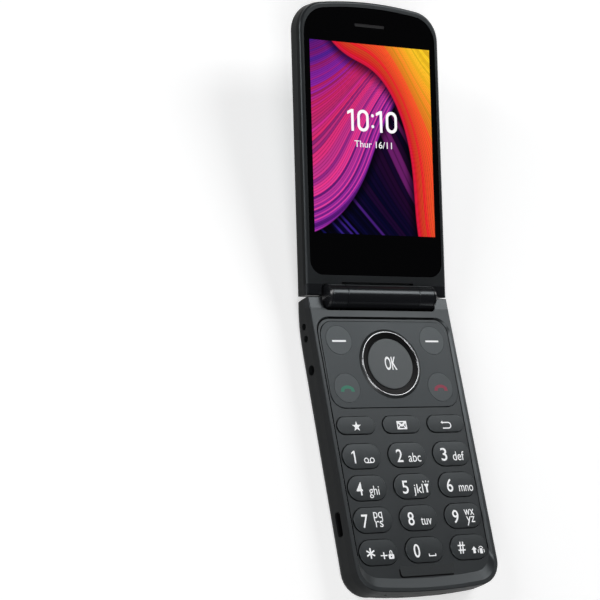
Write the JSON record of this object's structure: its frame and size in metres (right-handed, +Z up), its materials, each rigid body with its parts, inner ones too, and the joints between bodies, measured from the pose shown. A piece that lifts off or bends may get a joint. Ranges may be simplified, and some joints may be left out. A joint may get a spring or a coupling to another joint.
{
  "type": "flip phone",
  "caption": "Clamshell mobile phone, opened flat to its stop: keypad half on its back, glossy screen half raised on a barrel hinge.",
  "frame": {"origin": "on the table, under the middle of the flat back of the keypad half", "axes": "+Z up out of the table, +Y along the phone from the keypad's foot to the hinge and the lid, +X to the right of someone who reads the screen"},
  "size_m": [0.0571, 0.1994, 0.0366],
  "materials": {
    "front_shell": "satin",
    "rear_shell": "matte",
    "key_plastic": "satin",
    "chrome_trim": "polished",
    "window": "gloss",
    "spun_metal": "satin",
    "display_module": "gloss",
    "black_plastic": "matte",
    "steel": "satin",
    "cell_pack": "satin",
    "light_plate": "satin",
    "circuit_board": "satin",
    "dome_film": "gloss",
    "contact_plating": "satin"
  },
  "bodies": {
    "base": {"base_screws": "steel", "battery": "cell_pack", "battery_cover": "rear_shell", "board_shield": "steel", "camera_module": "black_plastic", "camera_window": "window", "charging_contacts": "contact_plating", "charging_socket": "steel", "dome_sheet": "dome_film", "headphone_jack": "black_plastic", "hinge_cartridge": "steel", "key_frame": "front_shell", "loudspeaker": "steel", "main_board": "circuit_board", "microphone": "black_plastic", "nav_panel": "front_shell", "rear_housing": "rear_shell", "speaker_grille": "black_plastic", "thumb_pad": "front_shell", "torch_lens": "window", "vibration_motor": "steel"},
    "lid": {"screen_frame": "front_shell", "outer_cover": "rear_shell", "main_glass": "window", "main_display": "display_module", "chassis_plate": "light_plate", "lid_board": "circuit_board", "outer_glass": "window", "outer_display": "display_module", "earpiece": "black_plastic", "closing_magnet": "steel", "lid_screws": "steel", "hinge_shaft": "steel", "cable_sleeve": "steel", "hinge_caps": "front_shell"},
    "call_key": {"call_key": "spun_metal"},
    "nav_ring": {"nav_ring": "key_plastic", "nav_chrome_ring": "chrome_trim"},
    "nav_ok": {"nav_ok": "key_plastic"},
    "volume_key": {"volume_key": "key_plastic"},
    "key_star": {"key_star": "key_plastic"},
    "key_message": {"key_message": "key_plastic"},
    "key_back": {"key_back": "key_plastic"},
    "key_1": {"key_1": "key_plastic"},
    "key_2": {"key_2": "key_plastic"},
    "key_3": {"key_3": "key_plastic"},
    "key_4": {"key_4": "key_plastic"},
    "key_5": {"key_5": "key_plastic"},
    "key_6": {"key_6": "key_plastic"},
    "key_7": {"key_7": "key_plastic"},
    "key_8": {"key_8": "key_plastic"},
    "key_9": {"key_9": "key_plastic"},
    "key_asterisk": {"key_asterisk": "key_plastic"},
    "key_0": {"key_0": "key_plastic"},
    "key_hash": {"key_hash": "key_plastic"},
    "key_soft_left": {"key_soft_left": "key_plastic"},
    "key_soft_right": {"key_soft_right": "key_plastic"},
    "key_call": {"key_call": "key_plastic"},
    "key_end": {"key_end": "key_plastic"}
  },
  "joints": [
    {"name": "lid_hinge", "type": "hinge", "parent": "base", "child": "lid", "pos_m": [0, 0.056, 0.0112], "axis": [1, 0, 0], "range_deg": [0, 164.8]},
    {"name": "nav_ring_press", "type": "slide", "parent": "base", "child": "nav_ring", "axis": [0, 0, -1], "range_m": [0, 0.0003], "stiffness_N_per_m": 200, "springref_m": -0.0004},
    {"name": "nav_ok_press", "type": "slide", "parent": "base", "child": "nav_ok", "axis": [0, 0, -1], "range_m": [0, 0.0003], "stiffness_N_per_m": 200, "springref_m": -0.0004},
    {"name": "volume_press", "type": "slide", "parent": "base", "child": "volume_key", "axis": [-1, 0, 0], "range_m": [0, 0.0003], "stiffness_N_per_m": 150, "springref_m": -0.0004},
    {"name": "call_key_press", "type": "slide", "parent": "lid", "child": "call_key", "axis": [0, -0.2571, 0.9664], "range_m": [0, 0.00025], "stiffness_N_per_m": 150, "springref_m": -0.0004},
    {"name": "key_soft_left_press", "type": "slide", "parent": "base", "child": "key_soft_left", "axis": [0, 0, -1], "range_m": [0, 0.0003], "stiffness_N_per_m": 150, "springref_m": -0.0004},
    {"name": "key_soft_right_press", "type": "slide", "parent": "base", "child": "key_soft_right", "axis": [0, 0, -1], "range_m": [0, 0.0003], "stiffness_N_per_m": 150, "springref_m": -0.0004},
    {"name": "key_call_press", "type": "slide", "parent": "base", "child": "key_call", "axis": [0, 0, -1], "range_m": [0, 0.0003], "stiffness_N_per_m": 150, "springref_m": -0.0004},
    {"name": "key_end_press", "type": "slide", "parent": "base", "child": "key_end", "axis": [0, 0, -1], "range_m": [0, 0.0003], "stiffness_N_per_m": 150, "springref_m": -0.0004},
    {"name": "key_star_press", "type": "slide", "parent": "base", "child": "key_star", "axis": [0, 0, -1], "range_m": [0, 0.0003], "stiffness_N_per_m": 150, "springref_m": -0.0004},
    {"name": "key_message_press", "type": "slide", "parent": "base", "child": "key_message", "axis": [0, 0, -1], "range_m": [0, 0.0003], "stiffness_N_per_m": 150, "springref_m": -0.0004},
    {"name": "key_back_press", "type": "slide", "parent": "base", "child": "key_back", "axis": [0, 0, -1], "range_m": [0, 0.0003], "stiffness_N_per_m": 150, "springref_m": -0.0004},
    {"name": "key_1_press", "type": "slide", "parent": "base", "child": "key_1", "axis": [0, 0, -1], "range_m": [0, 0.0003], "stiffness_N_per_m": 150, "springref_m": -0.0004},
    {"name": "key_2_press", "type": "slide", "parent": "base", "child": "key_2", "axis": [0, 0, -1], "range_m": [0, 0.0003], "stiffness_N_per_m": 150, "springref_m": -0.0004},
    {"name": "key_3_press", "type": "slide", "parent": "base", "child": "key_3", "axis": [0, 0, -1], "range_m": [0, 0.0003], "stiffness_N_per_m": 150, "springref_m": -0.0004},
    {"name": "key_4_press", "type": "slide", "parent": "base", "child": "key_4", "axis": [0, 0, -1], "range_m": [0, 0.0003], "stiffness_N_per_m": 150, "springref_m": -0.0004},
    {"name": "key_5_press", "type": "slide", "parent": "base", "child": "key_5", "axis": [0, 0, -1], "range_m": [0, 0.0003], "stiffness_N_per_m": 150, "springref_m": -0.0004},
    {"name": "key_6_press", "type": "slide", "parent": "base", "child": "key_6", "axis": [0, 0, -1], "range_m": [0, 0.0003], "stiffness_N_per_m": 150, "springref_m": -0.0004},
    {"name": "key_7_press", "type": "slide", "parent": "base", "child": "key_7", "axis": [0, 0, -1], "range_m": [0, 0.0003], "stiffness_N_per_m": 150, "springref_m": -0.0004},
    {"name": "key_8_press", "type": "slide", "parent": "base", "child": "key_8", "axis": [0, 0, -1], "range_m": [0, 0.0003], "stiffness_N_per_m": 150, "springref_m": -0.0004},
    {"name": "key_9_press", "type": "slide", "parent": "base", "child": "key_9", "axis": [0, 0, -1], "range_m": [0, 0.0003], "stiffness_N_per_m": 150, "springref_m": -0.0004},
    {"name": "key_asterisk_press", "type": "slide", "parent": "base", "child": "key_asterisk", "axis": [0, 0, -1], "range_m": [0, 0.0003], "stiffness_N_per_m": 150, "springref_m": -0.0004},
    {"name": "key_0_press", "type": "slide", "parent": "base", "child": "key_0", "axis": [0, 0, -1], "range_m": [0, 0.0003], "stiffness_N_per_m": 150, "springref_m": -0.0004},
    {"name": "key_hash_press", "type": "slide", "parent": "base", "child": "key_hash", "axis": [0, 0, -1], "range_m": [0, 0.0003], "stiffness_N_per_m": 150, "springref_m": -0.0004}
  ]
}
